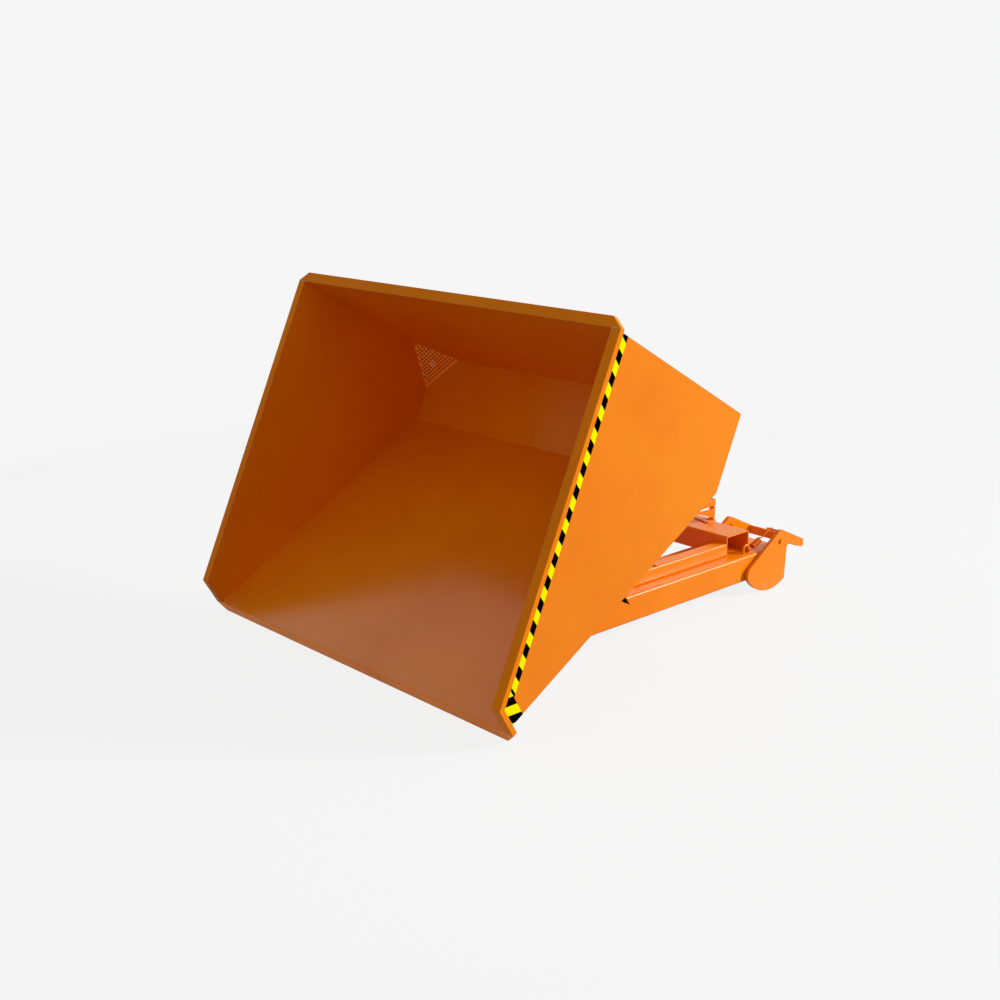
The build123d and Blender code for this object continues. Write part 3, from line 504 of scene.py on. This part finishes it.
for sideName, side in sides:
    makeStrips(sideName, side)
print("hazard strips cut")


# Lever springs: loop round the staple leg, close coil, shank and hook round the knee pin
spring = {
    "wire": 0.0016, "coil": 0.008, "turns": 10, "pitch": 0.00375, "lead": 0.018, "tail": 0.016,
    "height": 0.128, "staple": 0.004, "pin": 0.003, "seat": 0.0003, "loopEnd": 0.005, "hookEnd": 0.012,
    "perTurn": 20,
    "leadBend": ((0.35, 0.05), (0.7, 0.3), (0.93, 0.38)),
    "tailBend": ((0.12, 0.92, 0.36), (0.42, 0.5, 0.42), (0.75, 0.08, 0.12), (1.0, 0.0, 0.0)),
    "shankBend": (0.25, 0.5, 0.75), "roundness": 4, "order": 3, "smoothness": 2,
}


def springPath(side):
    # points of the wire's middle; side is 1 on the right, -1 on the left
    eyeLow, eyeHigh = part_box("spring_eye_right")
    pinLow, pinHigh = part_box("lever_knee_pin_right")
    start = Vector(((eyeLow.x + eyeHigh.x) / 2, eyeHigh.y - spring["staple"], spring["height"]))
    stop = Vector((start.x, (pinLow.y + pinHigh.y) / 2, (pinLow.z + pinHigh.z) / 2))
    along = (stop - start).normalized()
    sidewards = along.cross(Vector((0, 0, 1))).normalized()
    up = sidewards.cross(along)

    def at(run, sideways, lift):
        point = start + along * run + sidewards * sideways + up * lift
        return Vector((point.x * side, point.y, point.z))

    coil = spring["coil"]
    lead = spring["lead"]
    half = spring["perTurn"] // 2
    length = (stop - start).length
    loop = coil - (spring["staple"] + spring["wire"] + spring["seat"]) / along.y
    hook = spring["pin"] + spring["wire"] + spring["seat"]
    coilEnd = lead + spring["turns"] * spring["pitch"]
    shank = coilEnd + spring["tail"]
    points = [at(loop + spring["loopEnd"], coil, 0)]
    for i in range(half + 1):
        turn = math.pi * i / half
        points.append(at(loop - coil * math.sin(turn), coil * math.cos(turn), 0))
    for share, dip in spring["leadBend"]:
        points.append(at(loop + (lead - loop) * share, -coil, -coil * dip))
    for i in range(spring["turns"] * spring["perTurn"] + 1):
        turn = 2 * math.pi * i / spring["perTurn"]
        run = lead + spring["pitch"] * i / spring["perTurn"]
        points.append(at(run, -coil * math.cos(turn), coil * math.sin(turn)))
    for share, sideways, lift in spring["tailBend"]:
        points.append(at(coilEnd + spring["tail"] * share, -coil * sideways, coil * lift))
    for share in spring["shankBend"]:
        eased = share * share * (3 - 2 * share)
        points.append(at(shank + (length - shank) * share, 0, hook * eased))
    for i in range(half + 1):
        turn = math.pi * i / half
        points.append(at(length + hook * math.sin(turn), 0, hook * math.cos(turn)))
    points.append(at(length - spring["hookEnd"], 0, -hook))
    return points, at(lead, 0, 0), at(shank, 0, 0)


def wireMesh(points):
    curve = bpy.data.curves.new("springLine", "CURVE")
    curve.dimensions = "3D"
    curve.bevel_depth = spring["wire"]
    curve.bevel_resolution = spring["roundness"]
    curve.use_fill_caps = True
    line = curve.splines.new("NURBS")
    line.points.add(len(points) - 1)
    for knot, point in zip(line.points, points):
        knot.co = (*point, 1.0)
    line.order_u = spring["order"]
    line.use_endpoint_u = True
    line.resolution_u = spring["smoothness"]
    holder = bpy.data.objects.new("springHolder", curve)
    bpy.context.scene.collection.objects.link(holder)
    rawMesh = bpy.data.meshes.new_from_object(holder.evaluated_get(bpy.context.evaluated_depsgraph_get()))
    bpy.data.objects.remove(holder)
    bm = bmesh.new()
    bm.from_mesh(rawMesh)
    bpy.data.meshes.remove(rawMesh)
    return cleanMesh("leverSpring", bm)


def makeSpring(sideName, side):
    points, bendStart, bendEnd = springPath(side)
    mesh = wireMesh(points)
    piece = addPiece("lever_spring_coil_" + sideName, mesh, paints["springPaint"], None)
    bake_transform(piece)
    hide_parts("lever_spring_" + sideName)


for sideName, side in sides:
    makeSpring(sideName, side)
print("springs made")


# Weld seams: a rippled bead along each inner corner, with tapered ends
weld = {
    "leg": 0.0042, "fine": 0.003, "pinLeg": 0.002, "seam": 0.0016, "sides": 10, "ripple": 0.0036,
    "dip": 0.84, "tip": 0.35, "fewest": 4, "stitch": 0.055, "stitchStep": 0.155, "ringSteps": 32,
    "rounded": 0.006, "narrow": 0.003, "lug": 0.008, "lugBase": 0.006, "padMargin": 0.02, "earThick": 0.010,
    "eyeWire": 0.004, "lockFoot": 0.035, "lockStand": 0.0479, "socket": 0.021, "rimRound": 0.002,
}


def beadMesh(start, end, leg):
    bm = bmesh.new()
    run = end - start
    steps = max(weld["fewest"], 2 * round(run.length / weld["ripple"]))
    sizes = [weld["tip"]] + [1.0, weld["dip"]] * (steps // 2) + [weld["tip"]]
    ring = bmesh.ops.create_circle(bm, cap_ends=True, segments=weld["sides"], radius=leg * sizes[0],
                                   matrix=standAt(start, run, "X"))
    cap = ring["verts"][0].link_faces[0]
    for size, nextSize in zip(sizes, sizes[1:]):
        grown = bmesh.ops.extrude_face_region(bm, geom=[cap])["geom"]
        cap = next(item for item in grown if isinstance(item, bmesh.types.BMFace))
        bmesh.ops.translate(bm, verts=cap.verts, vec=run / (len(sizes) - 1))
        grow = nextSize / size
        bmesh.ops.scale(bm, verts=cap.verts, vec=(grow, grow, grow),
                        space=Matrix.Translation(-cap.calc_center_median()))
    return cleanMesh("weldBead", bm)


def loopEdges(verts):
    return list({edge for vert in verts for edge in vert.link_edges})


def ringMesh(middle, axis, radius, leg):
    bm = bmesh.new()
    side = axis.orthogonal().normalized()
    ring = bmesh.ops.create_circle(bm, cap_ends=False, segments=weld["sides"], radius=leg,
                                   matrix=standAt(middle + side * radius, axis.cross(side), "X"))
    bmesh.ops.spin(bm, geom=ring["verts"] + loopEdges(ring["verts"]), cent=middle, axis=axis,
                   angle=2 * math.pi, steps=weld["ringSteps"], use_merge=True)
    return cleanMesh("weldBead", bm)


def makeWelds(name, body, lines, rings, material=paints["orangePaint"]):
    # a line is a start, an end and a leg; a ring is a middle, an axis, a radius and a leg
    meshes = [beadMesh(*line) for line in lines] + [ringMesh(*ring) for ring in rings]
    addPiece(name, joinMeshes(name, meshes), material, body)


def alongX(low, high, y, z, leg):
    return Vector((low, y, z)), Vector((high, y, z)), leg


def alongY(x, low, high, z, leg):
    return Vector((x, low, z)), Vector((x, high, z)), leg


def alongZ(x, y, low, high, leg):
    return Vector((x, y, low)), Vector((x, y, high)), leg


def railLines():
    # stitches under the right rail, its end on the cross channel, and the channel on the pocket
    leg = weld["leg"]
    inset = weld["rounded"]
    low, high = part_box("rail_right")
    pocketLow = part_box("fork_pocket_right")[0]
    channelLow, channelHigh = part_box("rear_cross_channel")
    lines = []
    for i in range(int((high.y - low.y) / weld["stitchStep"])):
        y = low.y + weld["stitch"] / 2 + i * weld["stitchStep"]
        lines.append(alongY(low.x, y, y + weld["stitch"], low.z, leg))
    lines.append(alongX(low.x + inset, high.x - inset, high.y, high.z, weld["fine"]))
    lines.append(alongZ(low.x, high.y, low.z + inset, high.z - inset, weld["fine"]))
    left = pocketLow.x + 2 * inset
    lines.append(alongX(left, low.x - inset, channelLow.y, low.z, leg))
    lines.append(alongX(left, channelHigh.x - inset, channelHigh.y, low.z, leg))
    return lines


def hingeLines():
    # the right hinge bracket and tipping stop on the rail
    inset = weld["rounded"]
    low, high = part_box("hinge_bracket_right")
    lines = [alongX(low.x + inset, high.x - inset, y, low.z, weld["leg"]) for y in (low.y, high.y)]
    for x in (low.x + weld["lug"], high.x - weld["lug"]):
        lines.append(alongY(x, low.y + inset, high.y - inset, low.z + weld["lugBase"], weld["fine"]))
    low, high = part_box("tip_stop_right")
    lines.append(alongX(low.x + inset, high.x - inset, high.y, low.z, weld["leg"]))
    return lines


def pocketLines():
    # front cross tube, front foot and lever ears on the right pocket
    leg = weld["leg"]
    inset = weld["rounded"]
    low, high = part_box("front_cross_tube")
    lines = [alongY(high.x, low.y + inset, high.y - inset, high.z, leg)]
    for y in (low.y, high.y):
        lines.append(alongZ(high.x, y, low.z + inset, high.z - inset, leg))
    low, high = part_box("front_foot_right")
    for x in (low.x, high.x):
        lines.append(alongY(x, low.y + inset, high.y - inset, high.z, leg))
    low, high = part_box("lever_ears_right")
    for x in (low.x + weld["earThick"], high.x - weld["earThick"]):
        lines.append(alongY(x, low.y + weld["narrow"], high.y - weld["narrow"], low.z, leg))
    return lines


def stapleRings():
    # round the feet of the right staple
    low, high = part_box("spring_eye_right")
    wire = weld["eyeWire"]
    feet = [Vector(((low.x + high.x) / 2, y, low.z)) for y in (low.y + wire, high.y - wire)]
    return [(foot, Vector((0, 0, 1)), wire, wire / 2) for foot in feet]


def slopeLines():
    # the right hinge pad on the slope, and the hinge arm on the pad
    low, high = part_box("hinge_pad_right")
    armLow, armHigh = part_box("hinge_arm_right")
    start = Vector((0, low.y, low.z - slopeOut.z * padThick))
    end = slopeFace()
    lines = [(across * x + start, across * x + end, weld["fine"]) for x in (low.x, high.x)]
    start += slopeUp * weld["padMargin"] + slopeOut * padThick
    end += slopeOut * padThick - slopeUp * weld["padMargin"]
    return lines + [(across * x + start, across * x + end, weld["leg"]) for x in (armLow.x, armHigh.x)]


def rimLines():
    # butt seam of the right side rim and the back rim, across the face
    sideLow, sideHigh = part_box("side_rim_right")
    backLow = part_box("back_rim")[0]
    return [alongX(sideLow.x, sideHigh.x - weld["rimRound"], backLow.y, sideHigh.z, weld["seam"])]


def lockLines():
    # feet of the lock's two cheeks on the back wall
    low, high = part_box("lock_ears")
    pinLow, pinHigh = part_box("lock_pivot_pin")
    foot = (pinLow + pinHigh) / 2 - floorUp * weld["lockStand"]
    reach = wallUp * weld["lockFoot"]
    middles = [Vector((x, foot.y, foot.z)) for x in (low.x, high.x)]
    return [(middle - reach, middle + reach, weld["fine"]) for middle in middles]


def socketRing():
    # the drain socket's foot on the back wall
    low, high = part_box("drain_socket")
    radius = weld["socket"]
    foot = Vector(((low.x + high.x) / 2, low.y + radius * wallOut.z, low.z + radius * wallOut.y))
    return foot, wallOut, radius, weld["fine"]


def leverLines(sideName):
    # the bar's ends on the lever's two plates
    low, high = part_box("lever_bar_" + sideName)
    inset = weld["narrow"]
    corners = [(x, y) for x in (low.x, high.x) for y in (low.y, high.y)]
    return [alongZ(x, y, low.z + inset, high.z - inset, weld["fine"]) for x, y in corners]


def pinRing(sideName, side):
    # round the knee pin's outer end
    low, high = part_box("lever_knee_pin_" + sideName)
    face = high.x if side > 0 else low.x
    middle = Vector((face, (low.y + high.y) / 2, (low.z + high.z) / 2))
    return middle, across, (high.z - low.z) / 2, weld["pinLeg"]


def bothSides(rows):
    # the rows, and the same mirrored in X
    flip = Vector((-1, 1, 1))
    mirrored = []
    for row in rows:
        mirrored.append(tuple(value * flip if isinstance(value, Vector) else value for value in row))
    return rows + mirrored


baseLines = railLines() + hingeLines() + pocketLines()
makeWelds("weld_beads_base", "base", bothSides(baseLines), bothSides(stapleRings()))
makeWelds("weld_beads_skip", "skip", bothSides(slopeLines()) + lockLines(), [socketRing()])
# the rim seams are in the light tone: a painted highlight
makeWelds("rim_corner_seams", "skip", bothSides(rimLines()), [], paints["rimSeamHighlightPaint"])
for sideName, side in sides:
    makeWelds("weld_beads_lever_" + sideName, "fork_lever_" + sideName, leverLines(sideName),
              [pinRing(sideName, side)])
print("weld beads laid")


# Screws with a domed head and a hexagon socket; a nut is a top, a foot and a corner radius
screws = {
    "sides": 24, "flats": 6, "domeSteps": 6,
    "sieve": {"head": 0.004, "radius": 0.0055, "top": 0.0032, "side": 0.0014, "shank": 0.003,
              "length": 0.022, "socket": 0.0024, "depth": 0.0024, "nut": None},
    "keeper": {"head": 0.004, "radius": 0.005, "top": 0.0030, "side": 0.0016, "shank": 0.003,
               "length": 0.016, "socket": 0.0022, "depth": 0.0022, "nut": (0.008, 0.013, 0.00577)},
}
sieveLeg = 0.104
# the sieve bolt's zinc, lightened near white and less metallic: painted brightness so it shows lit in the
# dark corner
boltLitCoat = {"metallic": 0.3, "bright": srgb("EEF0F0"), "dull": zinc["bright"]}


def pullRing(bm, edges, ratio, rise):
    # new ring of a turned shape about Z: scaled and lifted from the last
    grown = bmesh.ops.extrude_edge_only(bm, edges=edges)["geom"]
    verts = [item for item in grown if isinstance(item, bmesh.types.BMVert)]
    bmesh.ops.scale(bm, verts=verts, vec=(ratio, ratio, 1))
    bmesh.ops.translate(bm, verts=verts, vec=(0, 0, rise))
    return [item for item in grown if isinstance(item, bmesh.types.BMEdge)]


def addNut(bm, nut):
    top, foot, corner = nut
    stand = Matrix.Translation((0, 0, -foot)) @ Matrix.Rotation(math.pi / 2, 4, "Z")
    ring = bmesh.ops.create_circle(bm, cap_ends=True, segments=screws["flats"], radius=corner, matrix=stand)
    grown = bmesh.ops.extrude_face_region(bm, geom=[ring["verts"][0].link_faces[0]])["geom"]
    verts = [item for item in grown if isinstance(item, bmesh.types.BMVert)]
    bmesh.ops.translate(bm, verts=verts, vec=(0, 0, foot - top))


def screwMesh(screw, stand):
    bm = bmesh.new()
    floorAt = Matrix.Translation((0, 0, screw["head"] - screw["depth"]))
    flats = screws["flats"]
    hexagon = bmesh.ops.create_circle(bm, cap_ends=True, segments=flats, radius=screw["socket"],
                                      matrix=floorAt)
    bmesh.ops.subdivide_edges(bm, edges=loopEdges(hexagon["verts"]), cuts=screws["sides"] // flats - 1)
    hexTop = pullRing(bm, [edge for edge in bm.edges if edge.is_boundary], 1.0, screw["depth"])
    crown = bmesh.ops.create_circle(bm, cap_ends=False, segments=screws["sides"], radius=screw["top"],
                                    matrix=Matrix.Translation((0, 0, screw["head"])))
    ring = loopEdges(crown["verts"])
    bmesh.ops.bridge_loops(bm, edges=hexTop + ring)
    radius = screw["top"]
    height = screw["head"]
    for i in range(screws["domeSteps"]):
        turn = math.pi / 2 * (i + 1) / screws["domeSteps"]
        nextRadius = screw["top"] + (screw["radius"] - screw["top"]) * math.sin(turn)
        nextHeight = screw["side"] + (screw["head"] - screw["side"]) * math.cos(turn)
        ring = pullRing(bm, ring, nextRadius / radius, nextHeight - height)
        radius = nextRadius
        height = nextHeight
    ring = pullRing(bm, ring, 1.0, -height)
    ring = pullRing(bm, ring, screw["shank"] / radius, 0.0)
    ring = pullRing(bm, ring, 1.0, -screw["length"])
    bmesh.ops.holes_fill(bm, edges=ring)
    if screw["nut"] is not None:
        addNut(bm, screw["nut"])
    bmesh.ops.transform(bm, matrix=stand, verts=bm.verts)
    return cleanMesh("screw", bm)


def makeSieveBolt():
    low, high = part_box("corner_sieve")
    corner = Vector((low.x, low.y - wallUp.y * sieveLeg, high.z - wallUp.z * sieveLeg))
    middle = corner + (across + wallUp - floorUp) * sieveLeg / 3
    normal = (across - wallUp).cross(wallUp + floorUp).normalized()
    if normal.dot(middle - corner) < 0:
        normal.negate()
    mesh = screwMesh(screws["sieve"], standAt(middle, normal, "Y"))
    piece = addPiece("sieve_socket_bolt", mesh, makeZinc("boltLitZinc", boltLitCoat), "skip")
    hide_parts("sieve_bolt")


def makeKeeperScrews():
    screw = screws["keeper"]
    low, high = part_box("keeper_screws")
    corner = screw["nut"][2]
    meshes = []
    for x in (low.x + corner, high.x - corner):
        stand = Matrix.Translation((x, (low.y + high.y) / 2, high.z - screw["head"]))
        meshes.append(screwMesh(screw, stand))
    mesh = joinMeshes("keeperScrews", meshes)
    piece = addPiece("keeper_socket_screws", mesh, paints["orangePaint"], "base")
    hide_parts("keeper_screws")


makeSieveBolt()
makeKeeperScrews()
print("screws turned")


# Stage, light and camera
stage = {
    "floor": srgb("F6F6F6"), "bounce": (0.42, 0.42, 0.42, 1.0), "size": 40.0, "fadeStep": (1.3, 2.8),
    "glowShare": 0.90, "nearGlow": 1.02, "fill": 0.445,
}


def dimmed(colour, level):
    return tuple(channel * level for channel in colour[:3]) + (1.0,)


def seenRays(flow):
    # 1 for what the camera, a reflection or glass sees
    camera, glossy, glass = [flow.add("LightPath", out=kind) for kind in
                             ("Is Camera Ray", "Is Glossy Ray", "Is Transmission Ray")]
    return (camera + glossy + glass).least(1.0)


def makeFloor():
    material, flow = newMaterial("studioFloor")
    away = flow.add("VectorMath", {"operation": "LENGTH"}, {0: place(flow)}, out="Value")
    fade = away.step(*stage["fadeStep"])
    shown = seenRays(flow)
    lit = flow.add("BsdfDiffuse", {}, {"Color": shown.mix(stage["bounce"], stage["floor"])})
    near = dimmed(stage["floor"], stage["nearGlow"])
    glow = flow.add("Emission", {}, {"Color": fade.mix(near, stage["floor"])})
    surface = flow.add("MixShader", {}, {0: shown * fade.most(stage["glowShare"]), 1: lit, 2: glow})
    flow.add("OutputMaterial", {}, {"Surface": surface})
    bm = bmesh.new()
    bmesh.ops.create_grid(bm, x_segments=1, y_segments=1, size=stage["size"] / 2)
    mesh = toMesh("studioFloor", bm)
    mesh.materials.append(material)
    floor = bpy.data.objects.new("studioFloor", mesh)
    bpy.context.scene.collection.objects.link(floor)


def makeWorld():
    world = bpy.data.worlds.new("studio")
    world.use_nodes = True
    world.node_tree.nodes.clear()
    flow = Flow(world.node_tree)
    light = seenRays(flow).mix(dimmed(stage["floor"], stage["fill"]), stage["floor"])
    sky = flow.add("Background", {}, {"Color": light})
    flow.add("OutputWorld", {}, {"Surface": sky})
    bpy.context.scene.world = world


lamp = {"from": Vector((0.59, 0.715, 0.375)), "aim": Vector((0, 0, 0.4)), "away": 14.0, "size": 2.8,
        "watts": 2120.0}


def makeLamp():
    light = bpy.data.lights.new("key", "AREA")
    light.shape = "SQUARE"
    light.size = lamp["size"]
    light.energy = lamp["watts"]
    holder = bpy.data.objects.new("key", light)
    bpy.context.scene.collection.objects.link(holder)
    direction = lamp["from"].normalized()
    holder.matrix_world = standAt(lamp["aim"] + direction * lamp["away"], direction, "Y")


shot = {"place": (2.5838, -2.64455, 1.3393), "heading": 46.40, "pitch": 15.55, "roll": 0.48, "lens": 49.33,
        "sensor": 36.0, "farthest": 100.0}


def makeCamera():
    data = bpy.data.cameras.new("shot")
    data.lens = shot["lens"]
    data.sensor_width = shot["sensor"]
    data.clip_end = shot["farthest"]
    camera = bpy.data.objects.new("shot", data)
    bpy.context.scene.collection.objects.link(camera)
    heading = Matrix.Rotation(math.radians(shot["heading"]), 4, "Z")
    pitch = Matrix.Rotation(math.radians(90 - shot["pitch"]), 4, "X")
    roll = Matrix.Rotation(math.radians(shot["roll"]), 4, "Z")
    camera.matrix_world = Matrix.Translation(shot["place"]) @ heading @ pitch @ roll
    bpy.context.scene.camera = camera


makeFloor()
makeWorld()
makeLamp()
makeCamera()
bpy.context.scene.view_settings.view_transform = "Standard"
print("stage set")
